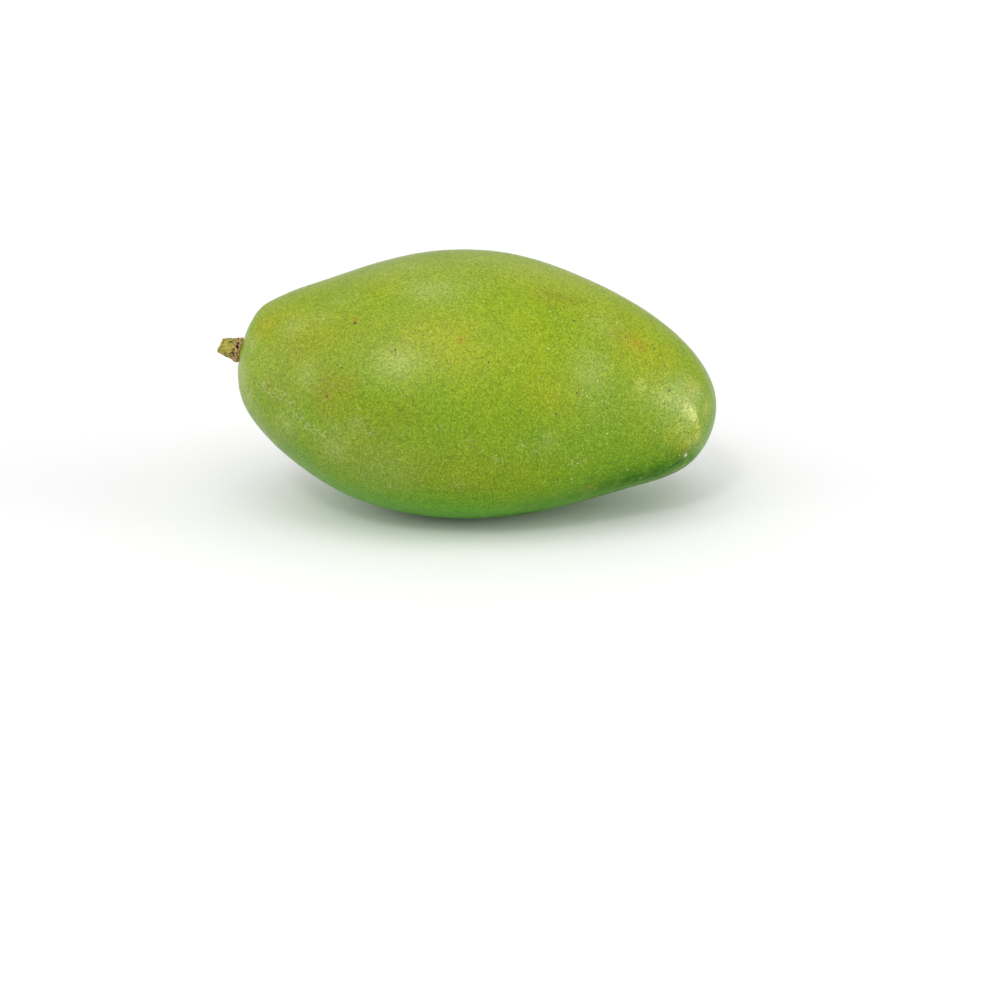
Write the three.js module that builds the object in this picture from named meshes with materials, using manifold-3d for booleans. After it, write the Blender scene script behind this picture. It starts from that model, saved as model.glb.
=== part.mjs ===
// Green mango with the cut stub of its stalk, lying on its side on a small flat spot.
// Millimetres, +Z up. The stalk end points to -X and the beaked end to +X.
// The origin is the centre of the flat spot that the fruit rests on.

import * as THREE from 'three';
import Module from 'manifold-3d';
import { mergeVertices } from 'three/addons/utils/BufferGeometryUtils.js';

const wasm = await Module();
wasm.setup();

// Side outline of the fruit in its own frame: x runs from the stalk end to the far end,
// y from the belly edge to the back edge. The points steer a closed cubic B-spline.
const OUTLINE = [
  [-5.3, 5.2],
  [-0.8, 19.8],
  [17.4, 25.6],
  [40.4, 37.2],
  [70.1, 40.3],
  [97.2, 33],
  [120.9, 21.4],
  [138.1, 2.2],
  [124.2, -20],
  [111.8, -25.9],
  [96.5, -33],
  [79.2, -39.8],
  [57.5, -43.1],
  [33.4, -40.6],
  [12.4, -29.8],
  [-7.5, -11.7],
];
const STALK_END = 0;
const BEAK_END = 8;

// Profiles from the stalk end to the beak, as Bezier weights: how thick a section is
// for its depth, and how much wider it is on the back side than on the belly side
const THICKNESS = [0.91, 0.97, 0.92, 0.91, 0.66];
const BACK_FULLNESS = [0, 0.1, 0.05, 0.35, 0.3];

// How the fruit lies: rolled with its belly down, its beaked end lowered, and cut flat below
const REST_ROLL = THREE.MathUtils.degToRad(26);
const REST_PITCH = THREE.MathUtils.degToRad(7);
const OVER_REST_SPOT = new THREE.Vector3(62.3, -0.3, 0);
const REST_HEIGHT = 35.8;

// Pale scar at the tip of the beak
const SCAR_RADIUS = 0.9;
const SCAR_SUNK = 0.5;

// Stub of the stalk: a round root in a socket of the fruit, then a tapering ribbed stub.
// It stands a little to the belly side of the fruit's end.
const STALK_SEAT = -0.04;
const ROOT_RADIUS = 3.4;
const ROOT_CENTRE_OUT = 1.2;
const SOCKET_GAP = 0.3;
const STUB_TOP = 5.8;
const STUB_WAIST_RADIUS = 2.85;
const STUB_CUT_RADIUS = 1.95;
const CUT_SLOPE = 0.4;
const CUT_FACING = Math.PI / 12;
const CUT_RIM_SHARE = 0.75;
const CUT_DISH = 0.25;
const RIB_COUNT = 9;
const RIB_DEPTH = 0.14;
const COLLAR_LUMPS = 7;
const COLLAR_TURN = 1;
const COLLAR_DEPTH = 0.22;
const COLLAR_SHARE = 0.35;

// Block that stands for all that lies below the resting plane
const GROUND_SIDE = 300;
const GROUND_DEPTH = 40;

// Mesh fineness
const FRUIT_RINGS = 58;
const FRUIT_SIDES = 56;
const STALK_SIDES = 36;
const ROOT_RINGS = 6;
const STUB_RINGS = 16;
const SCAR_SIDES = 12;
const SOCKET_SIDES = 32;

const skinMaterial = new THREE.MeshStandardMaterial({ color: 0x9cb43c, roughness: 0.42, metalness: 0 });
const stalkMaterial = new THREE.MeshStandardMaterial({ color: 0x9c9640, roughness: 0.8, metalness: 0 });

// Point of the closed B-spline outline, one unit of u for each steering point
function outlineAt(u) {
  const start = Math.floor(u);
  const f = u - start;
  const weights = [
    (1 - f) ** 3,
    3 * f ** 3 - 6 * f ** 2 + 4,
    -3 * f ** 3 + 3 * f ** 2 + 3 * f + 1,
    f ** 3,
  ];
  const point = new THREE.Vector2();
  weights.forEach((weight, k) => {
    const [x, y] = OUTLINE.at((start - 1 + k) % OUTLINE.length);
    point.x += (weight * x) / 6;
    point.y += (weight * y) / 6;
  });
  return point;
}

// Value of a Bezier profile at t from 0 to 1, by repeated blending of its weights
function profileAt(weights, t) {
  let level = weights;
  while (level.length > 1) {
    level = level.slice(1).map((next, k) => THREE.MathUtils.lerp(level[k], next, t));
  }
  return level[0];
}

// One cross-section of the fruit, between the back edge and the belly edge
function fruitRing(t) {
  const back = outlineAt(STALK_END + t * (BEAK_END - STALK_END));
  const belly = outlineAt(OUTLINE.length - t * (OUTLINE.length - BEAK_END));
  const middle = back.clone().add(belly).multiplyScalar(0.5);
  const half = back.clone().sub(belly).multiplyScalar(0.5);
  const halfWidth = half.length() * profileAt(THICKNESS, t);
  const fullness = profileAt(BACK_FULLNESS, t);
  const ring = [];
  for (let j = 0; j < FRUIT_SIDES; j++) {
    const turn = (2 * Math.PI * j) / FRUIT_SIDES;
    const z = halfWidth * Math.sin(turn) * (1 + fullness * Math.cos(turn));
    const edge = middle.clone().addScaledVector(half, Math.cos(turn));
    ring.push(new THREE.Vector3(edge.x, edge.y, z));
  }
  return ring;
}

// Closed surface from a start point over a list of rings to an end point
function closedSurface(startPoint, rings, endPoint) {
  const sides = rings[0].length;
  const points = [startPoint, ...rings.flat(), endPoint];
  const endIndex = points.length - 1;
  const at = (ring, side) => 1 + ring * sides + (side % sides);
  const index = [];
  for (let side = 0; side < sides; side++) {
    index.push(0, at(0, side + 1), at(0, side));
    index.push(endIndex, at(rings.length - 1, side), at(rings.length - 1, side + 1));
    for (let ring = 0; ring < rings.length - 1; ring++) {
      index.push(at(ring, side), at(ring, side + 1), at(ring + 1, side + 1));
      index.push(at(ring, side), at(ring + 1, side + 1), at(ring + 1, side));
    }
  }
  const geometry = new THREE.BufferGeometry().setFromPoints(points);
  geometry.setIndex(index);
  return geometry;
}

function toSolid(geometry) {
  const bare = geometry.clone();
  bare.deleteAttribute('normal');
  bare.deleteAttribute('uv');
  const merged = mergeVertices(bare);
  return new wasm.Manifold(new wasm.Mesh({
    numProp: 3,
    vertProperties: new Float32Array(merged.attributes.position.array),
    triVerts: new Uint32Array(merged.index.array),
  }));
}

function toGeometry(solid) {
  const mesh = solid.getMesh();
  const geometry = new THREE.BufferGeometry();
  geometry.setAttribute('position', new THREE.BufferAttribute(mesh.vertProperties, 3));
  geometry.setIndex(new THREE.BufferAttribute(mesh.triVerts, 1));
  geometry.computeVertexNormals();
  return geometry;
}

function fruitBody() {
  const rings = [];
  for (let i = 1; i < FRUIT_RINGS; i++) {
    rings.push(fruitRing((1 - Math.cos((Math.PI * i) / FRUIT_RINGS)) / 2));
  }
  const stalkPole = outlineAt(STALK_END);
  const beakPole = outlineAt(BEAK_END);
  return closedSurface(
    new THREE.Vector3(stalkPole.x, stalkPole.y, 0),
    rings,
    new THREE.Vector3(beakPole.x, beakPole.y, 0),
  );
}

// Where the outline is met by a stalk or a scar, and which way is straight out of the skin
function poleAt(u) {
  const along = outlineAt(u + 0.01).sub(outlineAt(u - 0.01 + OUTLINE.length));
  const point = outlineAt(u);
  return {
    point: new THREE.Vector3(point.x, point.y, 0),
    out: new THREE.Vector3(-along.y, along.x, 0).normalize(),
  };
}

// Block below the resting plane, in the frame of the tilted fruit
function groundBlock(lying) {
  const block = new THREE.BoxGeometry(GROUND_SIDE, GROUND_SIDE, GROUND_DEPTH);
  block.translate(0, 0, -GROUND_DEPTH / 2);
  return block.applyMatrix4(lying.matrix.clone().invert());
}

// The fruit: body with the scar on its beak, the socket of the stalk and the flat spot
function makeFruit(lying, rootCentre) {
  const beak = poleAt(BEAK_END);
  const scar = new THREE.SphereGeometry(SCAR_RADIUS, SCAR_SIDES, SCAR_SIDES / 2);
  scar.translate(...beak.point.clone().addScaledVector(beak.out, -SCAR_SUNK).toArray());
  const socket = new THREE.SphereGeometry(ROOT_RADIUS + SOCKET_GAP, SOCKET_SIDES, SOCKET_SIDES / 2);
  socket.translate(...rootCentre.toArray());
  const solid = toSolid(fruitBody())
    .add(toSolid(scar))
    .subtract(toSolid(socket))
    .subtract(toSolid(groundBlock(lying)));
  const fruit = new THREE.Mesh(toGeometry(solid), skinMaterial);
  fruit.name = 'fruit';
  return fruit;
}

// One ring of the stalk about its own axis, with ribs along the stub and lumps on the collar
function stalkRing(height, radius, ribs, lumps, slope) {
  const ring = [];
  for (let j = 0; j < STALK_SIDES; j++) {
    const turn = (2 * Math.PI * j) / STALK_SIDES;
    const r = radius
      + ribs * RIB_DEPTH * Math.cos(RIB_COUNT * turn)
      + lumps * COLLAR_DEPTH * Math.sin(COLLAR_LUMPS * turn + COLLAR_TURN);
    const z = height - slope * r * Math.cos(turn - CUT_FACING);
    ring.push(new THREE.Vector3(r * Math.cos(turn), r * Math.sin(turn), z));
  }
  return ring;
}

// The stub of the stalk, with its axis along Z and the centre of its round root at the origin
function stalkBody() {
  const rings = [];
  for (let i = 1; i <= ROOT_RINGS; i++) {
    const rise = (Math.PI / 2) * (i / ROOT_RINGS);
    rings.push(stalkRing(-ROOT_RADIUS * Math.cos(rise), ROOT_RADIUS * Math.sin(rise), 0, 0, 0));
  }
  for (let i = 1; i <= STUB_RINGS; i++) {
    const s = i / STUB_RINGS;
    const radius = profileAt([ROOT_RADIUS, STUB_WAIST_RADIUS, STUB_WAIST_RADIUS, STUB_CUT_RADIUS], s);
    const ribs = Math.min(1, s / COLLAR_SHARE);
    const lumps = Math.sin(Math.PI * ribs);
    rings.push(stalkRing(s * STUB_TOP, radius, ribs, lumps, CUT_SLOPE * s ** 2));
  }
  rings.push(stalkRing(STUB_TOP, STUB_CUT_RADIUS * CUT_RIM_SHARE, 0, 0, CUT_SLOPE));
  const start = new THREE.Vector3(0, 0, -ROOT_RADIUS);
  const end = new THREE.Vector3(0, 0, STUB_TOP - CUT_DISH);
  return closedSurface(start, rings, end);
}

function makeStalk(rootCentre, out) {
  const stalk = new THREE.Mesh(stalkBody(), stalkMaterial);
  stalk.geometry.computeVertexNormals();
  stalk.position.copy(rootCentre);
  stalk.quaternion.setFromUnitVectors(new THREE.Vector3(0, 0, 1), out);
  stalk.name = 'stalk';
  return stalk;
}

// Group that lays the fruit down, so that the rest spot comes under the chosen inner point
function layDown() {
  const lying = new THREE.Group();
  lying.rotation.set(REST_ROLL, REST_PITCH, 0, 'ZYX');
  lying.position.copy(OVER_REST_SPOT).applyEuler(lying.rotation).negate();
  lying.position.z += REST_HEIGHT;
  lying.updateMatrix();
  return lying;
}

const mango = new THREE.Group();
const lying = layDown();
const stalkSeat = poleAt(STALK_SEAT);
const rootCentre = stalkSeat.point.clone().addScaledVector(stalkSeat.out, ROOT_CENTRE_OUT);
lying.add(makeFruit(lying, rootCentre));
lying.add(makeStalk(rootCentre, stalkSeat.out));
mango.add(lying);

export default mango;
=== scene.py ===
import math
import random

import bpy
import numpy as np
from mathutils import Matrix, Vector, noise


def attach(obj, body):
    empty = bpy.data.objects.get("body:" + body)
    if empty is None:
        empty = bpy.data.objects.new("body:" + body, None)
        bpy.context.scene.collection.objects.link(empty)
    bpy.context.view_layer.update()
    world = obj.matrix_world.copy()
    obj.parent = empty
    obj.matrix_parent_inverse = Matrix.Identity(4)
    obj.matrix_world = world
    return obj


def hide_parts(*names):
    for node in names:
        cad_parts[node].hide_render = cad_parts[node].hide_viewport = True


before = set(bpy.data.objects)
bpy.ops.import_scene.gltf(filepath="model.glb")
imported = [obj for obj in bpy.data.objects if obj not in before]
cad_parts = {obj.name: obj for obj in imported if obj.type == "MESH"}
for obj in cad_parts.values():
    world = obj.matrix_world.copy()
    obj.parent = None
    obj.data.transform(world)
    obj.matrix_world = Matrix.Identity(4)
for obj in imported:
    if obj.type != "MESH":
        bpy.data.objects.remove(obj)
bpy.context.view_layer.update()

MM = 0.001
PHOTO_SIDE = 1000

# Form of the fruit, as in the part's source: millimetres in the fruit's own frame,
# x from the stalk to the far end, y from the belly edge to the back edge
OUTLINE = np.array([
    (-5.3, 5.2), (-0.8, 19.8), (17.4, 25.6), (40.4, 37.2), (70.1, 40.3), (97.2, 33),
    (120.9, 21.4), (138.1, 2.2), (124.2, -20), (111.8, -25.9), (96.5, -33), (79.2, -39.8),
    (57.5, -43.1), (33.4, -40.6), (12.4, -29.8), (-7.5, -11.7),
])
BEAK_END = 8
OUTLINE_STEP = 0.01
THICKNESS = (0.91, 0.97, 0.92, 0.91, 0.66)
BACK_FULLNESS = (0, 0.1, 0.05, 0.35, 0.3)

# How it lies, as in the part's source
REST_ROLL = math.radians(26)
REST_PITCH = math.radians(7)
OVER_REST_SPOT = np.array((62.3, -0.3, 0))
REST_HEIGHT = 35.8

# Stalk, as in the part's source
STALK_SEAT = -0.04
ROOT_RADIUS = 3.4
ROOT_CENTRE_OUT = 1.2
STUB_TOP = 5.8
STUB_WAIST_RADIUS = 2.85
STUB_CUT_RADIUS = 1.95
CUT_SLOPE = 0.4
CUT_FACING = math.pi / 12

# Camera of the photograph, in millimetres and photo pixels, with the far end of its view in metres
CAMERA_ELEVATION = math.radians(19)
CAMERA_DISTANCE = 900
MM_PER_PIXEL = 0.29
VIEW_CENTRE = np.array((-0.3, 0.8, 36.3))
VIEW_CENTRE_PIXEL = (473, 385.5)
SENSOR_WIDTH = 36
CLIP_END = 100

# Fineness of the meshes
FRUIT_RINGS = 262
FRUIT_SIDES = 360
STALK_RINGS = 150
STALK_SIDES = 180
DOT_SIDES = 9
FLOOR_SIDES = 96

# Steps by which a seed shifts the noise
NOISE_SHIFT = (7.3, 3.1, 5.7)

# Relief of the skin, in millimetres. Swell, dents and pimples: height and size. Each pair of
# distances says where a form fades in or out.
BROAD_SWELL = (0.45, 34)
SOFT_DENTS = (0.12, 11)
SMALL_PIMPLES = (0.035, 2.6)
CALM_BY_STALK = (1, 6)
CALM_BY_BEAK = (0.8, 4)
BASIN_DEPTH = 0.9
BASIN_RADIUS = 3.6
BASIN_LIP = 0.18
BASIN_LIP_RADIUS = 5.4
BASIN_LIP_WIDTH = 1.8
FURROW_COUNT = 9
FURROW_DEPTH = 0.14
FURROW_WANDER = 2.5
FURROW_WANDER_SIZE = 5
FURROW_SEED = 11
FURROW_START = (2.5, 4.5)
FURROW_END = (-13, -5)
SCAR_RADIUS = 0.7
SCAR_HEIGHT = 0.5
SCAR_PIXEL = (683.5, 453.6)

# Relief of the stalk, in millimetres, with shares of its profile. Pairs of heights say where a
# form fades in or out.
SOCKET_SHARE = 0.22
SOCKET_ROUNDNESS = 0.7
RIM_SHARE = 0.9
SOCKET_DEPTH = 2.04
RIB_DEPTH = 0.75
RIB_STRETCH = 0.12
RIB_SIZES = (0.75, 0.35)
RIB_SEEDS = (21, 22)
FINE_RIB_SHARE = 0.5
RIB_LEVEL = 0.25
RIBS_START = (0.4, 2)
CRUMB_HEIGHT = 0.95
CRUMB_SIZES = (0.9, 0.45)
CRUMB_SEEDS = (23, 24)
FINE_CRUMB_SHARE = 0.6
COLLAR_FOOT = (-1.2, 0.2)
COLLAR_TOP = (-2.1, -0.9)
CUT_HOLLOW = 0.35
CUT_ROUGHNESS = 0.2
CUT_GRAIN = 0.6
CUT_SEED = 25
STUB_WARP = 0.2
WARP_SIZE = 1.1
WARP_SEED = 26
WARP_START = 3

# Broad low forms, the shoulder of the beak with the hollow beside it and the shoulder above
# the stalk: height and radius in mm, and the run of photo pixels that each follows
LOW_FORMS = (
    (0.65, 11, ((672, 388), (684, 402), (692, 414), (696, 428), (696, 438))),
    (-0.3, 3, ((684, 388), (696, 402), (704, 414))),
    (0.7, 5, ((254, 322), (260, 312))),
)

# Height in mm at which the stored height of the skin is 1
HEIGHT_OF_ONE = 80

# Coloured patches of the skin: photo pixel, radius in mm, stretch along the fruit, strength
OLIVE_PATCHES = (
    (328, 388, 6.5, 1.2, 0.9), (349, 384, 4, 1.5, 0.7), (268, 384, 3, 0.8, 0.8),
    (300, 350, 8, 1.2, 0.6), (326, 408, 4, 1, 0.7), (556, 297, 3.2, 2.2, 0.9),
    (271, 330, 4, 1, 0.5), (398, 415, 6, 1, 0.45), (430, 470, 9, 2, 0.1), (620, 330, 7, 1, 0.4),
    (390, 345, 9, 1.5, 0.3), (338, 338, 9, 1.3, 0.35), (284, 380, 8, 1, 0.5),
    (277, 347, 6, 1, 0.35), (362, 426, 9, 1.4, 0.4),
)
# Yellow patches; those on the beak's right rim and lower shoulder are painted light
GOLD_AND_PAINTED_LIGHT_PATCHES = (
    (264, 326, 4.2, 1, 0.9), (445, 330, 7, 1.6, 0.5), (465, 348, 6, 1.4, 0.45),
    (638, 344, 4.5, 1.3, 0.9), (655, 362, 7, 1.2, 0.5), (684, 446, 3.6, 1, 0.8),
    (671, 436, 3, 1, 0.6), (697, 432, 4, 0.8, 0.8), (706, 404, 5, 0.6, 0.6),
    (520, 480, 8, 2, 0.35), (672, 424, 8, 1, 0.15), (462, 474, 9, 2, 0.5),
    (552, 397, 8, 1.3, 0.6), (692, 388, 4, 1, 0.8), (345, 455, 4, 1, 0.3),
    (486, 372, 9, 1.6, 0.25), (700, 380, 6, 0.8, 0.4), (306, 320, 4, 1, 0.3),
)
# Pale waxy bloom; the pale patches on the beak's shoulder and left of the middle are painted
# highlights, and those low on the left are painted light
BLOOM_AND_PAINTED_LIGHT_PATCHES = (
    (243, 378, 4.2, 0.8, 1), (248, 396, 4.5, 0.8, 0.9), (241, 362, 2.4, 0.8, 0.7),
    (258, 410, 3, 0.8, 0.5), (252, 345, 2.5, 0.8, 0.7), (308, 376, 3.2, 1, 0.6),
    (294, 325, 4.5, 1.3, 0.55), (321, 317, 4, 1.3, 0.4), (356, 425, 2.4, 1, 0.6),
    (334, 449, 6, 1, 0.6), (430, 288, 5, 1.9, 0.8), (591, 368, 7, 0.8, 0.5),
    (500, 262, 9, 3, 0.4), (400, 268, 8, 3, 0.5), (548, 441, 3, 1, 0.4), (285, 425, 5, 1, 0.6),
    (691, 413, 2.6, 0.8, 1), (684, 407, 3, 0.8, 0.7), (672, 403, 4, 1, 0.45),
    (652, 396, 4, 1, 0.3), (397, 361, 4, 1.4, 0.35), (345, 300, 5, 2, 0.3),
    (380, 470, 8, 1.5, 0.4), (350, 445, 6, 1, 0.3), (604, 326, 6, 1.2, 0.35),
    (460, 281, 5, 2, 0.4),
)
GREEN_PATCHES = (
    (334, 300, 6, 1.6, 0.6), (400, 308, 5, 1.4, 0.5), (440, 396, 8, 1.3, 0.6),
    (488, 394, 8, 1.2, 0.5), (600, 440, 12, 1.5, 0.5), (515, 428, 7, 1.5, 0.4),
    (555, 318, 5, 1.2, 0.5), (562, 470, 10, 2, 0.5), (406, 424, 6, 1.3, 0.8),
    (325, 424, 5, 1, 0.4), (490, 486, 9, 2.5, 0.5),
)
# Painted highlights: pale cream on the beak's shoulder, and a faint one left of the middle
PAINTED_HIGHLIGHT_PATCHES = (
    (691, 412, 1.9, 0.8, 1), (695, 417, 1.6, 0.8, 1), (686, 408, 2.2, 0.8, 0.6),
    (697, 425, 1.6, 0.8, 0.5), (697, 436, 2, 0.8, 0.4), (678, 402, 4, 1, 0.22),
    (664, 397, 4, 1, 0.26), (641, 386, 2.2, 0.8, 0.3), (684, 425, 5, 0.8, 0.3),
    (707, 408, 3, 0.6, 0.2), (398, 362, 3.5, 1.6, 0.12), (690, 440, 2.2, 1, 0.35),
    (670, 424, 5, 1, 0.12), (693, 391, 4, 1, 0.12),
)
# Painted shade: dark green where the fruit faces down, under the beak and along the lower edge
PAINTED_SHADE_PATCHES = (
    (676, 465, 5, 1.6, 1), (657, 473, 6, 1.8, 1), (634, 479, 6, 2, 0.9), (607, 486, 6, 2, 0.7),
    (577, 495, 5, 2.2, 0.5), (692, 458, 3, 1, 0.8), (548, 503, 5, 2, 0.4), (686, 470, 4, 1.6, 1),
    (665, 480, 5, 2, 1), (640, 488, 5, 2, 1), (612, 495, 5, 2, 0.8), (585, 503, 5, 2, 0.6),
    (522, 514, 4, 3, 0.8),
)
BLUSH_PATCHES = (
    (640.5, 345, 1.5, 1, 0.6), (634, 341, 1.5, 1.4, 0.4), (461, 340, 0.8, 1.6, 0.8),
    (355.6, 319.5, 0.8, 1, 0.8), (590, 487, 1.6, 2, 0.35), (327, 396, 0.8, 1.2, 0.6),
    (239, 363, 0.9, 1, 0.8),
)

# Rubbed streak by the stalk, as a run of photo pixels, and small scuffed places, of which those on
# the beak's shoulder and left of the middle are painted highlights
RUBBED_STREAK = ((262, 384), (276, 394), (289, 401), (299, 415), (308, 427), (324, 434))
STREAK_RADIUS = 1.5
RUBBED_AND_HIGHLIGHT_PLACES = (
    (498, 459, 1.2, 1.2, 1), (522, 446, 1.3, 1.2, 0.7), (536, 452, 1.1, 1, 0.8),
    (458, 484, 2, 1, 0.7), (441, 428, 1.2, 1, 0.7), (469, 441, 1.2, 1, 0.6),
    (392, 486, 1.8, 1.4, 0.6), (336, 427, 1, 2, 0.6), (372, 432, 1.2, 1.8, 0.6),
    (402, 430, 1.4, 1, 0.5), (578, 463, 1.8, 1.4, 0.5), (374, 489, 1.6, 1.2, 0.5),
    # Painted highlights on the beak's shoulder and left of the middle
    (692, 414, 2.4, 0.7, 0.8), (686, 410, 2.8, 0.8, 0.5), (672, 405, 4, 1, 0.3),
    (397, 362, 4, 1.4, 0.3),
)

# Dark specks and pale dots that stand out: photo pixel and radius in mm
DARK_SPECKS = (
    (355.4, 322.6, 0.5), (299.6, 349.4, 0.3), (336.9, 366, 0.3), (341, 367.2, 0.3),
    (326, 396.2, 0.34), (287, 362, 0.22), (273.8, 395, 0.3), (461.5, 340, 0.26),
    (573, 320.7, 0.36), (566.9, 323.8, 0.22), (571, 338, 0.27), (570, 342, 0.2),
    (625.5, 337, 0.25), (654.5, 348, 0.34), (669, 390.7, 0.34), (578, 392.6, 0.34),
    (610, 396, 0.22), (534, 363, 0.22), (489.3, 363, 0.3), (617.8, 305.7, 0.24),
    (549.7, 272.6, 0.2), (557, 414.8, 0.28), (422, 346, 0.22), (396, 351, 0.3), (684, 432, 0.3),
    (280.5, 364.6, 0.13), (283, 363.8, 0.13), (285.5, 362.9, 0.13), (694, 429, 0.2),
    (679, 421, 0.2),
)
PALE_DOTS = (
    (298.7, 320.7, 0.3), (401.5, 283.4, 0.3), (396.6, 264.9, 0.38), (294.2, 376.8, 0.3),
    (322.8, 317.9, 0.34), (440.5, 344.5, 0.24), (547.6, 347.6, 0.42), (536.7, 290.5, 0.3),
    (550.9, 312, 0.34), (562, 279, 0.3), (617.8, 323.3, 0.34), (501.4, 303, 0.3),
    (555.7, 317.8, 0.3), (573, 353, 0.24), (606.6, 355.7, 0.28), (598, 379.8, 0.3),
    (408.6, 394.4, 0.3), (601.8, 401.6, 0.3), (586.9, 395.8, 0.38), (607.6, 433.9, 0.34),
    (577.8, 463.7, 0.28), (571, 478.7, 0.3), (355, 301, 0.24), (655.5, 431.5, 0.3),
    (497, 455, 0.3), (688, 439, 0.2), (693, 433, 0.2), (681, 440, 0.2), (690, 448, 0.24),
    (676, 430, 0.2), (694, 444, 0.2),
)

# Scattered dots and specks: how many, their radii in mm, and how high they and those above
# stand, as a share of the radius. Then the seed, the power that keeps large ones few, and the
# height in mm from which they are placed.
SCATTERED_DOTS = 800
SCATTERED_DOT_RADII = (0.1, 0.28)
SCATTERED_SPECKS = 70
SCATTERED_SPECK_RADII = (0.1, 0.24)
DOT_HEIGHT = 0.3
SPECK_HEIGHT = 0.2
DOT_SEED = 7
FEW_LARGE = 3
CLEAR_OF_GROUND = 1

# Form of one dot: how uneven its rim is, its rings as shares of its radius and height, and the
# direction that its first axis is square to
DOT_RIM = (0.75, 1.2)
DOT_RINGS = ((1, -0.3), (0.75, 0.55), (0.35, 0.95))
DOT_SQUARE_TO = (0.3, 0.2, 0.93)


def blend_weights(weights, t):
    """Value of a Bezier profile with these weights at t from 0 to 1."""
    level = [np.full_like(t, w, dtype=float) for w in weights]
    while len(level) > 1:
        level = [a + (b - a) * t for a, b in zip(level, level[1:])]
    return level[0]


def outline_at(u):
    """Points of the closed B-spline side outline."""
    start = np.floor(u).astype(int)
    f = (u - start)[:, None]
    weights = ((1 - f) ** 3, 3 * f**3 - 6 * f**2 + 4, -3 * f**3 + 3 * f**2 + 3 * f + 1, f**3)
    steer = [OUTLINE[(start - 1 + k) % len(OUTLINE)] for k in range(4)]
    return sum(w * p for w, p in zip(weights, steer)) / 6


def end_of_fruit(u):
    """Point and outward direction of the outline at one end, in the fruit's frame."""
    before, here, after = outline_at(np.array((u - OUTLINE_STEP, u, u + OUTLINE_STEP)))
    along = after - before
    out = np.array((-along[1], along[0], 0))
    return np.array((*here, 0)), out / np.linalg.norm(out)


def lay_down(points):
    """Turns points of the fruit's own frame into the frame of the lying fruit, still in mm."""
    cr, sr = math.cos(REST_ROLL), math.sin(REST_ROLL)
    cp, sp = math.cos(REST_PITCH), math.sin(REST_PITCH)
    roll = np.array(((1, 0, 0), (0, cr, -sr), (0, sr, cr)))
    pitch = np.array(((cp, 0, sp), (0, 1, 0), (-sp, 0, cp)))
    return (points - OVER_REST_SPOT) @ (pitch @ roll).T + (0, 0, REST_HEIGHT)


def rough(points, size, seed):
    """Perlin noise over points in mm, with features of about this size."""
    shift = Vector([seed * step for step in NOISE_SHIFT])
    flat = points.reshape(-1, 3) / size
    values = np.fromiter((noise.noise(Vector(p) + shift) for p in flat), float, len(flat))
    return values.reshape(points.shape[:-1])


def smooth(x, low, high):
    """Soft step, 0 up to low and 1 from high."""
    s = np.clip((x - low) / (high - low), 0, 1)
    return s * s * (3 - 2 * s)


def bell(distance, radius):
    """Soft hill, 1 in the middle."""
    return np.exp(-((distance / radius) ** 2))


def flat_topped(distance, radius):
    """Hill with a broad top and steeper sides, 1 in the middle."""
    return np.exp(-((distance / radius) ** 4))


def smooth_fruit():
    """Grid of the bare form, rings by sides, in the fruit's frame."""
    t = np.linspace(0, 1, FRUIT_RINGS + 1)
    turn = np.linspace(0, 2 * math.pi, FRUIT_SIDES, endpoint=False)
    back = outline_at(t * BEAK_END)
    belly = outline_at(len(OUTLINE) - t * (len(OUTLINE) - BEAK_END))
    middle, half = (back + belly) / 2, (back - belly) / 2
    half_width = np.linalg.norm(half, axis=1) * blend_weights(THICKNESS, t)
    fullness = blend_weights(BACK_FULLNESS, t)
    xy = middle[:, None, :] + half[:, None, :] * np.cos(turn)[None, :, None]
    z = half_width[:, None] * np.sin(turn) * (1 + fullness[:, None] * np.cos(turn))
    return np.concatenate((xy, z[..., None]), axis=2)


def grid_normals(grid, first, last):
    """Outward directions of a closed grid, with given directions at its two poles."""
    along = np.gradient(grid, axis=0)
    around = np.roll(grid, -1, axis=1) - np.roll(grid, 1, axis=1)
    normal = np.cross(around, along)
    normal[0], normal[-1] = first, last
    return normal / np.linalg.norm(normal, axis=2, keepdims=True)


def grid_mesh(name, grid):
    """Mesh of a closed grid in mm whose first and last rings are single points."""
    rings, sides = grid.shape[0] - 2, grid.shape[1]
    points = np.concatenate((grid[:1, 0], grid[1:-1].reshape(-1, 3), grid[-1:, 0])) * MM
    index = 1 + np.arange(rings * sides).reshape(rings, sides)
    beside = np.roll(index, -1, axis=1)
    corners = (index[:-1], beside[:-1], beside[1:], index[1:])
    quads = np.stack(corners, axis=2).reshape(-1, 4)
    caps = [(0, b, a) for a, b in zip(index[0], beside[0])]
    caps += [(len(points) - 1, a, b) for a, b in zip(index[-1], beside[-1])]
    mesh = bpy.data.meshes.new(name)
    faces = quads.tolist() + [[int(i) for i in cap] for cap in caps]
    mesh.from_pydata(points.tolist(), [], faces)
    mesh.shade_smooth()
    return mesh


def grid_values(values):
    """One value for each vertex of grid_mesh, from a value for each place of the grid."""
    return np.concatenate((values[:1, 0], values[1:-1].ravel(), values[-1:, 0]))


def add_piece(name, mesh, material):
    """Visible piece of the fruit that rides on its only body."""
    piece = bpy.data.objects.new(name, mesh)
    bpy.context.scene.collection.objects.link(piece)
    mesh.materials.append(material)
    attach(piece, "root")
    return piece


def store(mesh, name, values):
    """Keeps a value from 0 to 1 for each vertex, for the materials to read."""
    layer = mesh.attributes.new(name, "FLOAT", "POINT")
    layer.data.foreach_set("value", np.clip(values, 0, 1).astype(np.float32))


# Camera


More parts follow.
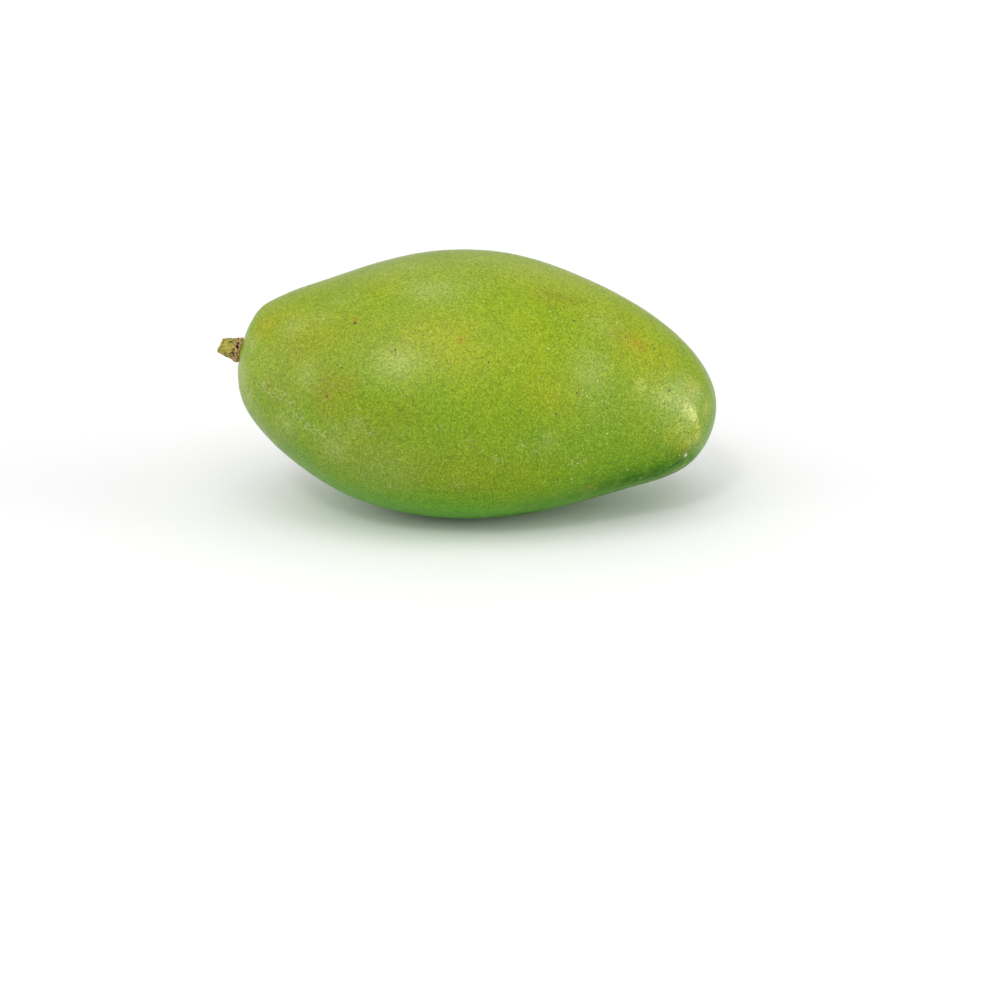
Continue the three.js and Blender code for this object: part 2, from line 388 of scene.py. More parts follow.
def camera_frame():
    """The camera's place and its right, up and forward directions, in mm."""
    ce, se = math.cos(CAMERA_ELEVATION), math.sin(CAMERA_ELEVATION)
    place = VIEW_CENTRE + CAMERA_DISTANCE * np.array((0, -ce, se))
    aside = (PHOTO_SIDE / 2 - VIEW_CENTRE_PIXEL[0]) * MM_PER_PIXEL
    below = (PHOTO_SIDE / 2 - VIEW_CENTRE_PIXEL[1]) * MM_PER_PIXEL
    aim = VIEW_CENTRE + (aside, 0, 0) - below * np.array((0, se, ce))
    forward = (aim - place) / np.linalg.norm(aim - place)
    right = np.cross(forward, (0, 0, 1))
    right /= np.linalg.norm(right)
    return place, right, np.cross(right, forward), forward


def make_camera():
    """Camera of the photograph, whose middle looks past the fruit as the photo's does."""
    place, _, _, forward = camera_frame()
    data = bpy.data.cameras.new("camera")
    data.sensor_width = SENSOR_WIDTH
    data.lens = SENSOR_WIDTH * CAMERA_DISTANCE / MM_PER_PIXEL / PHOTO_SIDE
    data.clip_end = CLIP_END
    camera = bpy.data.objects.new("camera", data)
    camera.location = place * MM
    camera.rotation_mode = "QUATERNION"
    camera.rotation_quaternion = Vector(forward).to_track_quat("-Z", "Y")
    bpy.context.scene.collection.objects.link(camera)
    bpy.context.scene.camera = camera


def distance_to_run(points, run):
    """Distance of each point from a run of straight stretches."""
    nearest = np.full(points.shape[:-1], np.inf)
    for a, b in zip(run, run[1:]):
        share = np.clip(((points - a) @ (b - a)) / ((b - a) @ (b - a)), 0, 1)
        gap = np.linalg.norm(points - a - share[..., None] * (b - a), axis=-1)
        nearest = np.minimum(nearest, gap)
    return nearest


class SkinMap:
    """Finds places of the lying fruit's skin by the photo's pixels."""

    def __init__(self, points, normals, areas=None):
        place, right, up, forward = camera_frame()
        away = points - place
        scale = CAMERA_DISTANCE / MM_PER_PIXEL / (away @ forward)
        self.points, self.normals, self.areas = points, normals, areas
        aside_and_down = np.stack((away @ right, -(away @ up)), axis=1)
        self.pixels = PHOTO_SIDE / 2 + aside_and_down * scale[:, None]
        self.hidden = (away * normals).sum(axis=1) > 0

    def at(self, x, y):
        """Index of the visible skin point nearest to a pixel."""
        gap = np.hypot(self.pixels[:, 0] - x, self.pixels[:, 1] - y)
        gap[self.hidden] = np.inf
        return int(gap.argmin())

    def patches(self, places, own):
        """Soft mask of round patches. own holds the same skin points in the fruit's frame."""
        mask = np.zeros(len(self.points))
        for x, y, radius, stretch, strength in places:
            away = (own - own[self.at(x, y)]) / (stretch, 1, 1)
            mask = np.maximum(mask, strength * np.exp(-(away**2).sum(axis=1) / radius**2))
        return mask

    def streak(self, places, radius):
        """Soft mask along a run of pixels."""
        gap = distance_to_run(self.points, [self.points[self.at(x, y)] for x, y in places])
        return bell(gap, radius)


# Fruit


def low_relief(grid, bare_map):
    """Height of the broad low forms, in mm."""
    flat = grid.reshape(-1, 3)
    relief = np.zeros(grid.shape[:2])
    for height, radius, run in LOW_FORMS:
        ends = [flat[bare_map.at(x, y)] for x, y in run]
        relief += height * bell(distance_to_run(grid, ends), radius)
    return relief


def skin_relief(grid, stalk_place, beak_place, scar_place):
    """Height of the skin over the bare form, in mm."""
    relief = sum(
        height * rough(grid, size, seed)
        for seed, (height, size) in enumerate((BROAD_SWELL, SOFT_DENTS, SMALL_PIMPLES))
    )
    from_stalk = np.linalg.norm(grid - stalk_place, axis=2)
    from_beak = np.linalg.norm(grid - beak_place, axis=2)
    spin = np.arctan2(grid[..., 2] - stalk_place[2], grid[..., 1] - stalk_place[1])
    wander = FURROW_WANDER * rough(grid, FURROW_WANDER_SIZE, FURROW_SEED)
    reach = smooth(from_stalk, *FURROW_START) * smooth(-from_stalk, *FURROW_END)
    furrows = np.cos(FURROW_COUNT * spin + wander) * reach
    calm = smooth(from_stalk, *CALM_BY_STALK) * smooth(from_beak, *CALM_BY_BEAK)
    return (
        relief * calm
        - FURROW_DEPTH * furrows
        - BASIN_DEPTH * flat_topped(from_stalk, BASIN_RADIUS)
        + BASIN_LIP * bell(from_stalk - BASIN_LIP_RADIUS, BASIN_LIP_WIDTH)
        + SCAR_HEIGHT * flat_topped(np.linalg.norm(grid - scar_place, axis=2), SCAR_RADIUS)
    )


def mesh_vectors(grid):
    """Vectors of a grid in the order of grid_mesh's vertices."""
    return np.stack([grid_values(grid[..., k]) for k in range(3)], axis=1)


def turned(directions):
    """Directions of the fruit's own frame, turned as the fruit lies."""
    return lay_down(directions) - lay_down(np.zeros(3))


def store_marks(mesh, skin, own_points):
    """Keeps the masks of the coloured patches and the pale scuffs on the skin's mesh, painted shade
    and painted highlights among them.
    """
    for name, places in (
        ("olive", OLIVE_PATCHES),
        ("gold_and_painted_light", GOLD_AND_PAINTED_LIGHT_PATCHES),
        ("bloom_and_painted_light", BLOOM_AND_PAINTED_LIGHT_PATCHES),
        ("green", GREEN_PATCHES),
        ("blush", BLUSH_PATCHES),
        ("painted_shade", PAINTED_SHADE_PATCHES),
        ("painted_highlight", PAINTED_HIGHLIGHT_PATCHES),
    ):
        store(mesh, name, skin.patches(places, own_points))
    streak = skin.streak(RUBBED_STREAK, STREAK_RADIUS)
    store(mesh, "rubbed_and_highlight", np.maximum(streak, skin.patches(RUBBED_AND_HIGHLIGHT_PLACES, own_points)))


def make_fruit(material):
    """The skin with its relief and the masks of its marks. Gives the map of its places."""
    bare = smooth_fruit()
    stalk_place, _ = end_of_fruit(STALK_SEAT)
    beak_place, beak_out = end_of_fruit(BEAK_END)
    normals = grid_normals(bare, end_of_fruit(0)[1], beak_out)
    bare_points = bare.reshape(-1, 3)
    bare_map = SkinMap(lay_down(bare_points), turned(normals.reshape(-1, 3)))
    scar_place = bare_points[bare_map.at(*SCAR_PIXEL)]
    relief = skin_relief(bare, stalk_place, beak_place, scar_place) + low_relief(bare, bare_map)
    own = bare + normals * relief[..., None]
    lying = lay_down(own)
    lying[..., 2] = np.maximum(lying[..., 2], 0)
    mesh = grid_mesh("fruit_skin", lying)
    own_points, points = mesh_vectors(own), mesh_vectors(lying)
    along = np.linalg.norm(np.gradient(lying, axis=0), axis=2)
    around = np.linalg.norm(np.roll(lying, -1, axis=1) - np.roll(lying, 1, axis=1), axis=2)
    skin = SkinMap(points, mesh_vectors(turned(normals)), grid_values(along * around))
    store_marks(mesh, skin, own_points)
    from_scar = np.linalg.norm(bare - scar_place, axis=2)
    store(mesh, "scar", grid_values(flat_topped(from_scar, SCAR_RADIUS)))
    store(mesh, "height", points[:, 2] / HEIGHT_OF_ONE)
    piece = add_piece("fruit_skin", mesh, material)
    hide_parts("fruit")
    return skin


def dot_mesh(name, skin, dots, height_share, draw):
    """Low round spots on the skin, each with an uneven rim."""
    points, faces = [], []
    for where, radius in dots:
        centre, out = skin.points[where], skin.normals[where]
        side = np.cross(out, DOT_SQUARE_TO)
        side /= np.linalg.norm(side)
        other = np.cross(out, side)
        start = len(points)
        rim = [radius * draw.uniform(*DOT_RIM) for _ in range(DOT_SIDES)]
        for share, lift in DOT_RINGS:
            for k, r in enumerate(rim):
                turn = 2 * math.pi * k / DOT_SIDES
                flat = share * r * (math.cos(turn) * side + math.sin(turn) * other)
                points.append(centre + flat + out * lift * height_share * radius)
        points.append(centre + out * height_share * radius)
        inner_ring = start + (len(DOT_RINGS) - 1) * DOT_SIDES
        for ring in range(start, inner_ring, DOT_SIDES):
            for k in range(DOT_SIDES):
                a, b = ring + k, ring + (k + 1) % DOT_SIDES
                faces.append((a, b, b + DOT_SIDES, a + DOT_SIDES))
        tip = inner_ring + DOT_SIDES
        for k in range(DOT_SIDES):
            faces.append((inner_ring + k, inner_ring + (k + 1) % DOT_SIDES, tip))
        faces.append(tuple(start + k for k in reversed(range(DOT_SIDES))))
    mesh = bpy.data.meshes.new(name)
    mesh.from_pydata((np.array(points) * MM).tolist(), [], faces)
    mesh.shade_smooth()
    return mesh


def scattered(skin, count, radii, draw):
    """Places spread over the whole skin, with more small dots than large ones."""
    off_ground = np.flatnonzero(skin.points[:, 2] > CLEAR_OF_GROUND)
    chosen = draw.choices(off_ground.tolist(), weights=skin.areas[off_ground].tolist(), k=count)
    smallest, largest = radii
    return [(k, smallest + (largest - smallest) * draw.random() ** FEW_LARGE) for k in chosen]


def make_dots(skin, pale, dark):
    """Pale dots and dark specks, those listed and the scattered ones."""
    draw = random.Random(DOT_SEED)
    for name, places, count, radii, height, material in (
        ("pale_dots", PALE_DOTS, SCATTERED_DOTS, SCATTERED_DOT_RADII, DOT_HEIGHT, pale),
        ("dark_specks", DARK_SPECKS, SCATTERED_SPECKS, SCATTERED_SPECK_RADII, SPECK_HEIGHT, dark),
    ):
        by_hand = [(skin.at(x, y), radius) for x, y, radius in places]
        spread = scattered(skin, count, radii, draw)
        mesh = dot_mesh(name, skin, by_hand + spread, height, draw)
        add_piece(name, mesh, material)


# Stalk


def stalk_profile(s):
    """Radius and height of the bare stalk at s, from 0 in the socket to 1 on the cut."""
    share = np.clip((s - SOCKET_SHARE) / (RIM_SHARE - SOCKET_SHARE), 0, 1)
    radii = (ROOT_RADIUS, STUB_WAIST_RADIUS, STUB_WAIST_RADIUS, STUB_CUT_RADIUS)
    stub = blend_weights(radii, share)
    sunk = np.minimum(math.pi / 2 * s / SOCKET_SHARE, math.pi / 2)
    radius = np.where(s < SOCKET_SHARE, ROOT_RADIUS * np.sin(sunk) ** SOCKET_ROUNDNESS, stub)
    on_cut = STUB_CUT_RADIUS * np.sqrt(np.clip((1 - s) / (1 - RIM_SHARE), 0, 1))
    radius = np.where(s > RIM_SHARE, on_cut, radius)
    height = np.where(s < SOCKET_SHARE, -SOCKET_DEPTH * np.cos(sunk), share * STUB_TOP)
    return radius, height


def stalk_relief(s, turn, radius, height):
    """Radius and height of the rough stalk: ribs along its side, a crumbling collar at its foot
    and a rough slanting cut. Gives their masks too."""
    collar = smooth(height, *COLLAR_FOOT) * smooth(-height, *COLLAR_TOP)
    bare = np.stack((radius * np.cos(turn), radius * np.sin(turn), height + 0 * turn), axis=2)
    drawn_out = bare * (1, 1, RIB_STRETCH)
    broad_ribs, fine_ribs = (
        np.abs(rough(drawn_out, size, seed)) for size, seed in zip(RIB_SIZES, RIB_SEEDS)
    )
    ribs = broad_ribs + FINE_RIB_SHARE * fine_ribs
    large_crumbs, fine_crumbs = (
        rough(bare, size, seed) for size, seed in zip(CRUMB_SIZES, CRUMB_SEEDS)
    )
    crumbs = large_crumbs + FINE_CRUMB_SHARE * fine_crumbs
    on_side = smooth(height, *RIBS_START) * (s < RIM_SHARE)
    grown = radius - RIB_DEPTH * (ribs - RIB_LEVEL) * on_side + CRUMB_HEIGHT * crumbs * collar
    to_rim = radius / STUB_CUT_RADIUS
    on_cut = rough(bare * (1, 1, 0), CUT_GRAIN, CUT_SEED)
    jagged = CUT_ROUGHNESS * on_cut - CUT_HOLLOW * (1 - to_rim)
    warp = STUB_WARP * rough(bare, WARP_SIZE, WARP_SEED) * smooth(height, WARP_START, STUB_TOP)
    lift = height + np.where(s > RIM_SHARE, jagged, 0) + warp
    slope = CUT_SLOPE * smooth(height, 0, STUB_TOP)
    lift = lift - slope * grown * np.cos(turn - CUT_FACING)
    grown[0], grown[-1] = 0, 0
    lift[-1] = lift[-2].mean()
    lift[0] = lift[1].mean()
    masks = {
        "collar": collar + 0 * turn,
        "ribs": ribs,
        "crumbs": 0.5 + crumbs,
        "cut_face": (s > RIM_SHARE) * to_rim + 0 * turn,
    }
    return grown, lift, masks


def make_stalk(material):
    """The stub of the stalk on its seat at the fruit's end."""
    pole, out = end_of_fruit(STALK_SEAT)
    centre = pole + ROOT_CENTRE_OUT * out
    belly_side = np.array((-out[1], out[0], 0))
    across = np.cross(out, belly_side)
    s = np.linspace(0, 1, STALK_RINGS + 1)[:, None]
    turn = np.linspace(0, 2 * math.pi, STALK_SIDES, endpoint=False)[None, :]
    grown, lift, masks = stalk_relief(s, turn, *stalk_profile(s))
    outwards = np.cos(turn)[..., None] * across + np.sin(turn)[..., None] * belly_side
    own = centre + grown[..., None] * outwards + lift[..., None] * out
    mesh = grid_mesh("stalk_stub", lay_down(own))
    for name, values in masks.items():
        store(mesh, name, grid_values(values))
    piece = add_piece("stalk_stub", mesh, material)
    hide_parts("stalk")


# Materials


def linear(code):
    """Linear colour of a six-digit sRGB code."""
    parts = [int(code[k : k + 2], 16) / 255 for k in (0, 2, 4)]
    return tuple(((c + 0.055) / 1.055) ** 2.4 if c > 0.04 else c / 12.92 for c in parts) + (1,)


class Sheet:
    """Short calls that add and join the nodes of one tree."""

    def __init__(self, tree):
        self.nodes, self.links = tree.nodes, tree.links

    def add(self, kind, inputs=None, **settings):
        """New node with these settings and inputs, each a value or another node's output."""
        node = self.nodes.new(kind)
        for key, value in settings.items():
            setattr(node, key, value)
        for key, value in (inputs or {}).items():
            self.put(node.inputs[key], value)
        return node

    def put(self, socket, value):
        if isinstance(value, bpy.types.NodeSocket):
            self.links.new(value, socket)
        else:
            socket.default_value = value

    def sums(self, operation, a, b, clamp=False):
        node = self.add("ShaderNodeMath", {0: a, 1: b}, operation=operation, use_clamp=clamp)
        return node.outputs[0]

    def ramp(self, value, low, high, to_low=0.0, to_high=1.0):
        """Soft step from to_low up to low, to to_high from high on."""
        inputs = {"Value": value, "From Min": low, "From Max": high}
        inputs |= {"To Min": to_low, "To Max": to_high}
        node = self.add("ShaderNodeMapRange", inputs, interpolation_type="SMOOTHSTEP")
        return node.outputs[0]

    def noise(self, where, size, detail=2.0):
        """Noise with features of about this size in mm, over coordinates in metres."""
        inputs = {"Vector": where, "Scale": 1 / (size * MM), "Detail": detail}
        return self.add("ShaderNodeTexNoise", inputs).outputs[0]

    def mix(self, factor, a, b, mode="MIX"):
        """Colour b over colour a. The node's colour sockets are its inputs 6 and 7 and output 2."""
        node = self.add("ShaderNodeMix", data_type="RGBA", blend_type=mode)
        self.put(node.inputs["Factor"], factor)
        self.put(node.inputs[6], a)
        self.put(node.inputs[7], b)
        return node.outputs[2]

    def stored(self, name):
        """Value that store has kept under this name."""
        return self.add("ShaderNodeAttribute", attribute_name=name).outputs["Fac"]

    def place(self):
        return self.add("ShaderNodeTexCoord").outputs["Object"]

    def bump(self, height, distance, strength=1.0):
        inputs = {"Height": height, "Distance": distance * MM, "Strength": strength}
        return self.add("ShaderNodeBump", inputs).outputs[0]


GRAIN_DETAIL = 4


def fine_grain_group():
    """Group: light and dark grain finer than a millimetre, around 1, and its height."""
    group = bpy.data.node_groups.new("fine_grain", "ShaderNodeTree")
    face = group.interface
    face.new_socket("Place", in_out="INPUT", socket_type="NodeSocketVector")
    face.new_socket("Scale", in_out="INPUT", socket_type="NodeSocketFloat")
    face.new_socket("Contrast", in_out="INPUT", socket_type="NodeSocketFloat")
    face.new_socket("Shade", in_out="OUTPUT", socket_type="NodeSocketFloat")
    face.new_socket("Height", in_out="OUTPUT", socket_type="NodeSocketFloat")
    sheet = Sheet(group)
    given = sheet.add("NodeGroupInput").outputs
    inputs = {"Vector": given["Place"], "Scale": given["Scale"], "Detail": GRAIN_DETAIL}
    height = sheet.add("ShaderNodeTexNoise", inputs).outputs[0]
    centred = sheet.sums("SUBTRACT", height, 0.5)
    shade = sheet.sums("ADD", sheet.sums("MULTIPLY", centred, given["Contrast"]), 1.0)
    sheet.add("NodeGroupOutput", {"Shade": shade, "Height": height})
    return group


def grain(sheet, group, place, size, contrast):
    """Outputs of the grain group for this size in mm."""
    node = sheet.add("ShaderNodeGroup", node_tree=group)
    sheet.put(node.inputs["Place"], place)
    sheet.put(node.inputs["Scale"], 1 / (size * MM))
    sheet.put(node.inputs["Contrast"], contrast)
    return node.outputs


def new_material(name, **settings):
    """Material with its sheet and its shader, whose plain sockets get these settings."""
    material = bpy.data.materials.new(name)
    material.use_nodes = True
    shader = material.node_tree.nodes["Principled BSDF"]
    for key, value in settings.items():
        shader.inputs[key.replace("_", " ")].default_value = value
    return material, Sheet(material.node_tree), shader


SKIN_YELLOW_GREEN = linear("8e9b08")
SKIN_GREEN = linear("668e06")
SKIN_DEEP_GREEN = linear("4ea406")
# Painted shade under the beak and along the lower edge
SKIN_PAINTED_SHADE = linear("1e5c00")
SKIN_OLIVE = linear("7e8404")
# Gold, also painted light on the beak's right end
SKIN_GOLD = linear("9c9a06")
# Pale bloom, also the tint of painted highlights and painted light at some bloom patches
SKIN_BLOOM = linear("97a556")
SKIN_BLUSH = linear("9a7416")
# Pale of the scuffs, also used for painted highlights and for the pores
SKIN_RUBBED = linear("afb678")
# Painted highlight
SKIN_PAINTED_HIGHLIGHT = linear("dce47c")
SCAR_GREY = linear("c4cbaa")
PALE_CORK = linear("aab35c")
DARK_CORK = linear("4c3f12")

# Sheen of the skin for an export that drops the ramps of the sheen
SKIN_SHEEN = 0.28

# Tint and strength of each kind of patch, among them painted shade and patches that are partly
# painted light
PATCH_TINTS = (
    ("green", SKIN_GREEN, 0.9),
    ("olive", SKIN_OLIVE, 0.95),
    ("gold_and_painted_light", SKIN_GOLD, 0.7),
    ("bloom_and_painted_light", SKIN_BLOOM, 0.8),
    ("painted_shade", SKIN_PAINTED_SHADE, 0.95),
)
PAINTED_HIGHLIGHT_STRENGTH = 0.85
RUBBED_AND_HIGHLIGHT_STRENGTH = 0.65

# Sizes in mm of the mottling, grain, pores and pebbles of the skin, and their strengths
BROAD_MOTTLE = 26
MEDIUM_MOTTLE = 7
SMALL_MOTTLE = 2.2
MOTTLE_DETAIL = 3
SPECKLE = 0.55
FLECKS = 0.7
COARSE_GRAIN = (1.6, 0.45)
FINE_GRAIN = (0.55, 1.7)
PORE_SPACING = 1.5
PORE_EDGE = (0.2, 0.06)
PORE_STRENGTH = 0.4
PEBBLE_SIZE = 0.95
PEBBLE_SMOOTHNESS = 0.6
PEBBLE_BUMP = (0.11, 0.8)
GRAIN_IN_BUMP = 0.6
RUBBED_IN_BUMP = 0.8

# How much of the skin is yellow-green rather than green, by height and mottling
SUNNY_HEIGHTS = (0.2, 0.85)
SUNNY_WARMTH = 0.6
MOTTLE_SPAN = (0.3, 0.7)
BROAD_WARMTH = (-0.16, 0.2)
MEDIUM_WARMTH = (-0.07, 0.1)

# Ramps: the span of the input, then the two results
DEEP_BY_HEIGHT = (0.34, 0.04, 0, 0.7)
# Painted shade: the skin is darker towards the bottom
PAINTED_SHADE_BY_HEIGHT = (0.2, 0.85, 0.85, 1)
PATCH_BREAK = (0.25, 0.6, 0.55, 1)
BLUSH_BREAK = (0.35, 0.6, 0.35, 1)
PAINTED_HIGHLIGHT_BREAK = (0.3, 0.6, 0.35, 1)
RUBBED_BREAK = (0.5, 0.6, 0, 1)
PALE_GRAIN = (0.5, 0.7, 0, 0.22)
SHEEN_BY_HEIGHT = (0.05, 0.5, 0.1, 0.31)
SHEEN_BY_SHADE = (0, 1, 1, 0.25)
ROUGHNESS_BY_MOTTLE = (0.3, 0.7, 0.28, 0.37)
BLOOM_ROUGHNESS = 0.12
SKIN_IOR = 1.45


def mottled_greens(sheet, place, small):
    """Yellow-green above and deeper green below, in soft broad mottling with tinted patches, some
    of them painted shade and painted light.
    """
    broad = sheet.noise(place, BROAD_MOTTLE, MOTTLE_DETAIL)
    medium = sheet.noise(place, MEDIUM_MOTTLE, MOTTLE_DETAIL)
    height = sheet.stored("height")
    upper = sheet.sums("MULTIPLY", sheet.ramp(height, *SUNNY_HEIGHTS), SUNNY_WARMTH)
    warm = sheet.sums("ADD", sheet.ramp(broad, *MOTTLE_SPAN, *BROAD_WARMTH), upper)
    more = sheet.ramp(medium, *MOTTLE_SPAN, *MEDIUM_WARMTH)
    warm = sheet.sums("ADD", warm, more, clamp=True)
    colour = sheet.mix(warm, SKIN_GREEN, SKIN_YELLOW_GREEN)
    colour = sheet.mix(sheet.ramp(height, *DEEP_BY_HEIGHT), colour, SKIN_DEEP_GREEN)
    broken = sheet.ramp(small, *PATCH_BREAK)
    for name, tint, strength in PATCH_TINTS:
        amount = sheet.sums("MULTIPLY", sheet.stored(name), broken)
        colour = sheet.mix(sheet.sums("MULTIPLY", amount, strength), colour, tint)
    return colour


def skin_marks(sheet, place, colour, rubbed_and_highlight):
    """Blush, pale scuffs and painted highlights over the greens; some of the scuffs are painted
    highlights too.
    """
    speckled = sheet.noise(place, SPECKLE)
    blush = sheet.sums("MULTIPLY", sheet.stored("blush"), sheet.ramp(speckled, *BLUSH_BREAK))
    colour = sheet.mix(blush, colour, SKIN_BLUSH)
    # Scuffs and painted highlights in pale flecks
    colour = sheet.mix(sheet.sums("MULTIPLY", rubbed_and_highlight, RUBBED_AND_HIGHLIGHT_STRENGTH), colour, SKIN_RUBBED)
    # Painted highlights, broken into flecks
    painted_highlight = sheet.sums("MULTIPLY", sheet.stored("painted_highlight"), sheet.ramp(speckled, *PAINTED_HIGHLIGHT_BREAK))
    return sheet.mix(sheet.sums("MULTIPLY", painted_highlight, PAINTED_HIGHLIGHT_STRENGTH), colour, SKIN_PAINTED_HIGHLIGHT)


def grained(sheet, place, grain_group, colour):
    """Colour with grain, pale pores and the scar on the beak. Gives the fine grain too."""
    coarse = grain(sheet, grain_group, place, *COARSE_GRAIN)
    colour = sheet.mix(1.0, colour, coarse["Shade"], "MULTIPLY")
    fine = grain(sheet, grain_group, place, *FINE_GRAIN)
    colour = sheet.mix(1.0, colour, fine["Shade"], "MULTIPLY")
    colour = sheet.mix(sheet.ramp(fine["Height"], *PALE_GRAIN), colour, SKIN_BLOOM)
    inputs = {"Vector": place, "Scale": 1 / (PORE_SPACING * MM)}
    cells = sheet.add("ShaderNodeTexVoronoi", inputs, feature="F1")
    pores = sheet.ramp(cells.outputs["Distance"], *PORE_EDGE)
    colour = sheet.mix(sheet.sums("MULTIPLY", pores, PORE_STRENGTH), colour, SKIN_RUBBED)
    return sheet.mix(sheet.stored("scar"), colour, SCAR_GREY), fine


def skin_gloss(sheet, shader, small):
    """Soft waxy sheen, duller low down, in the painted shade and on the pale waxy patches."""
    sheen = sheet.ramp(sheet.stored("height"), *SHEEN_BY_HEIGHT)
    # Less sheen in the painted shade
    shaded = sheet.ramp(sheet.stored("painted_shade"), *SHEEN_BY_SHADE)
    sheet.put(shader.inputs["Specular IOR Level"], sheet.sums("MULTIPLY", sheen, shaded))
    # Duller on the bloom and on its patches of painted light
    bloom_and_painted_light = sheet.sums("MULTIPLY", sheet.stored("bloom_and_painted_light"), BLOOM_ROUGHNESS)
    dull = sheet.sums("ADD", sheet.ramp(small, *ROUGHNESS_BY_MOTTLE), bloom_and_painted_light)
    sheet.put(shader.inputs["Roughness"], dull)


def skin_material(grain_group):
    """Waxy mango skin: mottled greens, soft patches, fine dots and a pebbled surface, with painted
    shade low down and painted highlights.
    """
    settings = {"IOR": SKIN_IOR, "Specular_IOR_Level": SKIN_SHEEN}
    material, sheet, shader = new_material("mango_skin", **settings)
    place = sheet.place()
    small = sheet.noise(place, SMALL_MOTTLE, MOTTLE_DETAIL)
    flecks = sheet.ramp(sheet.noise(place, FLECKS), *RUBBED_BREAK)
    # Scuffs and painted highlights, broken into flecks
    rubbed_and_highlight = sheet.sums("MULTIPLY", sheet.stored("rubbed_and_highlight"), flecks)
    colour = skin_marks(sheet, place, mottled_greens(sheet, place, small), rubbed_and_highlight)
    colour, fine = grained(sheet, place, grain_group, colour)
    # Painted shade: darker towards the bottom
    shade = sheet.ramp(sheet.stored("height"), *PAINTED_SHADE_BY_HEIGHT)
    sheet.put(shader.inputs["Base Color"], sheet.mix(1.0, colour, shade, "MULTIPLY"))
    skin_gloss(sheet, shader, small)
    inputs = {"Vector": place, "Scale": 1 / (PEBBLE_SIZE * MM), "Smoothness": PEBBLE_SMOOTHNESS}
    pebbles = sheet.add("ShaderNodeTexVoronoi", inputs, feature="SMOOTH_F1").outputs["Distance"]
    fine_height = sheet.sums("MULTIPLY", fine["Height"], GRAIN_IN_BUMP)
    height = sheet.sums("ADD", pebbles, fine_height)
    height = sheet.sums("ADD", height, sheet.sums("MULTIPLY", rubbed_and_highlight, RUBBED_IN_BUMP))
    sheet.put(shader.inputs["Normal"], sheet.bump(height, *PEBBLE_BUMP))
    return material


CORK_ROUGHNESS = 0.6
CORK_GRAIN = (0.4, 0.7)


def dot_material(name, tint, grain_group):
    """Dull cork of one tint with fine grain."""
    material, sheet, shader = new_material(name, Roughness=CORK_ROUGHNESS)
    fine = grain(sheet, grain_group, sheet.place(), *CORK_GRAIN)
    sheet.put(shader.inputs["Base Color"], sheet.mix(1.0, tint, fine["Shade"], "MULTIPLY"))
    return material


STALK_OLIVE = linear("9c9338")
STALK_FURROW = linear("4c4113")
STALK_TAN = linear("be9869")
STALK_BROWN = linear("775a2c")
# Painted shade in the collar's gaps
STALK_PAINTED_SHADE = linear("2e2010")
STALK_PITH = linear("b3a648")
STALK_ROUGHNESS = 0.75
STALK_GRAIN = (0.35, 0.8)
STALK_BUMP = (0.08, 0.8)
CUT_FACE_STRENGTH = 0.7

# Sizes in mm of the stalk's mottling and of the bits of its collar, and ramps as above
STALK_MOTTLE = 1.8
COLLAR_BITS = 0.8
FURROW_EDGE = (0.1, 0.36)
PITH_PATCHES = (0.45, 0.62, 0, 0.45)
TAN_BITS = (0.36, 0.52)
PAINTED_SHADE_GAPS = (0.18, 0.4)


def stalk_material(grain_group):
    """Olive stalk with dark furrows, and a rough collar in tan with near-black painted shade in its
    deepest gaps.
    """
    material, sheet, shader = new_material("stalk_bark", Roughness=STALK_ROUGHNESS)
    place = sheet.place()
    ribs = sheet.ramp(sheet.stored("ribs"), *FURROW_EDGE)
    colour = sheet.mix(ribs, STALK_FURROW, STALK_OLIVE)
    pith = sheet.ramp(sheet.noise(place, STALK_MOTTLE), *PITH_PATCHES)
    colour = sheet.mix(pith, colour, STALK_PITH)
    tan = sheet.ramp(sheet.noise(place, COLLAR_BITS), *TAN_BITS)
    # Painted shade: near-black in the deepest gaps of the collar
    raised = sheet.ramp(sheet.stored("crumbs"), *PAINTED_SHADE_GAPS)
    bits = sheet.mix(raised, STALK_PAINTED_SHADE, sheet.mix(tan, STALK_BROWN, STALK_TAN))
    colour = sheet.mix(sheet.stored("collar"), colour, bits)
    cut_face = sheet.sums("MULTIPLY", sheet.stored("cut_face"), CUT_FACE_STRENGTH)
    colour = sheet.mix(cut_face, colour, STALK_PITH)
    fine = grain(sheet, grain_group, place, *STALK_GRAIN)
    sheet.put(shader.inputs["Base Color"], sheet.mix(1.0, colour, fine["Shade"], "MULTIPLY"))
    sheet.put(shader.inputs["Normal"], sheet.bump(fine["Height"], *STALK_BUMP))
    return material


# Stage


# Radius of the white floor in m, and how far in mm it lies below the fruit
FLOOR_RADIUS = 4
FLOOR_DROP = 0.05
FLOOR_WHITE = (0.86, 0.86, 0.86, 1)
FLOOR_ROUGHNESS = 0.9
FLOOR_SHEEN = 0.1
WHITE = (1, 1, 1, 1)
AMBIENT = 0.64

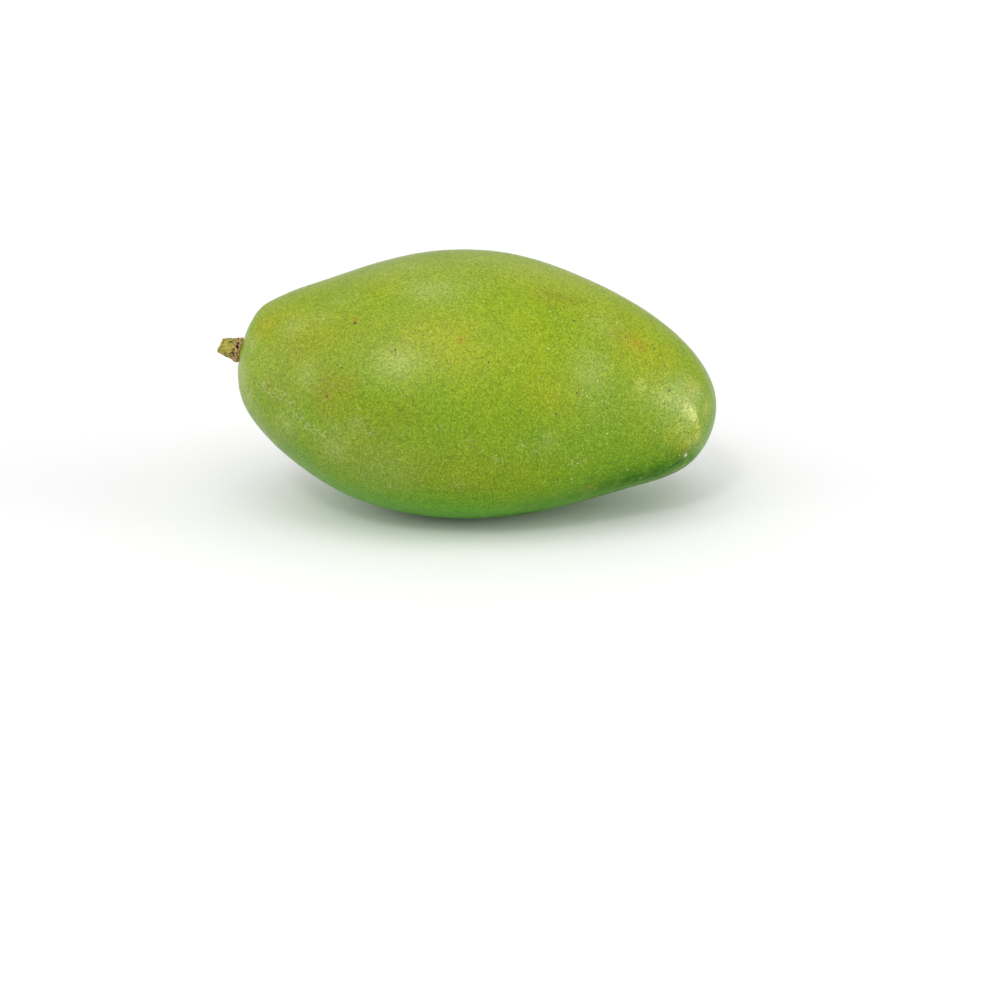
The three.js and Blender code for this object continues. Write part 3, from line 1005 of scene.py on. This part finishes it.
# Azimuth, elevation, strength and spread of each light, with 0 behind the camera and 90 from
# the right, in degrees
LIGHTS = (
    ("key", -21, 58, 1.2, 70),
    ("left_glint", -21, 46, 0.42, 9),
    ("right_glint", 75, 9, 0.4, 13),
    ("left_fill", -80, 14, 0.85, 50),
    ("right_fill", 80, 10, 1.35, 50),
)


def sun(name, azimuth, elevation, strength, spread):
    """Soft light that comes from this azimuth and elevation."""
    data = bpy.data.lights.new(name, "SUN")
    data.energy = strength
    data.angle = math.radians(spread)
    lamp = bpy.data.objects.new(name, data)
    a, e = math.radians(azimuth), math.radians(elevation)
    towards = Vector((math.sin(a) * math.cos(e), -math.cos(a) * math.cos(e), math.sin(e)))
    lamp.rotation_mode = "QUATERNION"
    lamp.rotation_quaternion = towards.to_track_quat("Z", "Y")
    bpy.context.scene.collection.objects.link(lamp)


def make_floor():
    """White round floor, wide enough to fill the view."""
    turns = [math.tau * k / FLOOR_SIDES for k in range(FLOOR_SIDES)]
    height = -FLOOR_DROP * MM
    rim = [(FLOOR_RADIUS * math.cos(t), FLOOR_RADIUS * math.sin(t), height) for t in turns]
    mesh = bpy.data.meshes.new("floor")
    mesh.from_pydata(rim, [], [tuple(range(FLOOR_SIDES))])
    settings = {
        "Base_Color": FLOOR_WHITE,
        "Roughness": FLOOR_ROUGHNESS,
        "Specular_IOR_Level": FLOOR_SHEEN,
    }
    mesh.materials.append(new_material("floor_paper", **settings)[0])
    floor = bpy.data.objects.new("floor", mesh)
    bpy.context.scene.collection.objects.link(floor)


def make_lights():
    """White surroundings and the lights, shown with plain colours."""
    world = bpy.data.worlds.new("studio")
    world.use_nodes = True
    backdrop = world.node_tree.nodes["Background"]
    backdrop.inputs["Color"].default_value = WHITE
    backdrop.inputs["Strength"].default_value = AMBIENT
    bpy.context.scene.world = world
    for light in LIGHTS:
        sun(*light)
    bpy.context.scene.view_settings.view_transform = "Standard"


make_camera()
make_floor()
make_lights()
grain_group = fine_grain_group()
skin = make_fruit(skin_material(grain_group))
pale_cork = dot_material("pale_cork", PALE_CORK, grain_group)
dark_cork = dot_material("dark_cork", DARK_CORK, grain_group)
make_dots(skin, pale_cork, dark_cork)
make_stalk(stalk_material(grain_group))
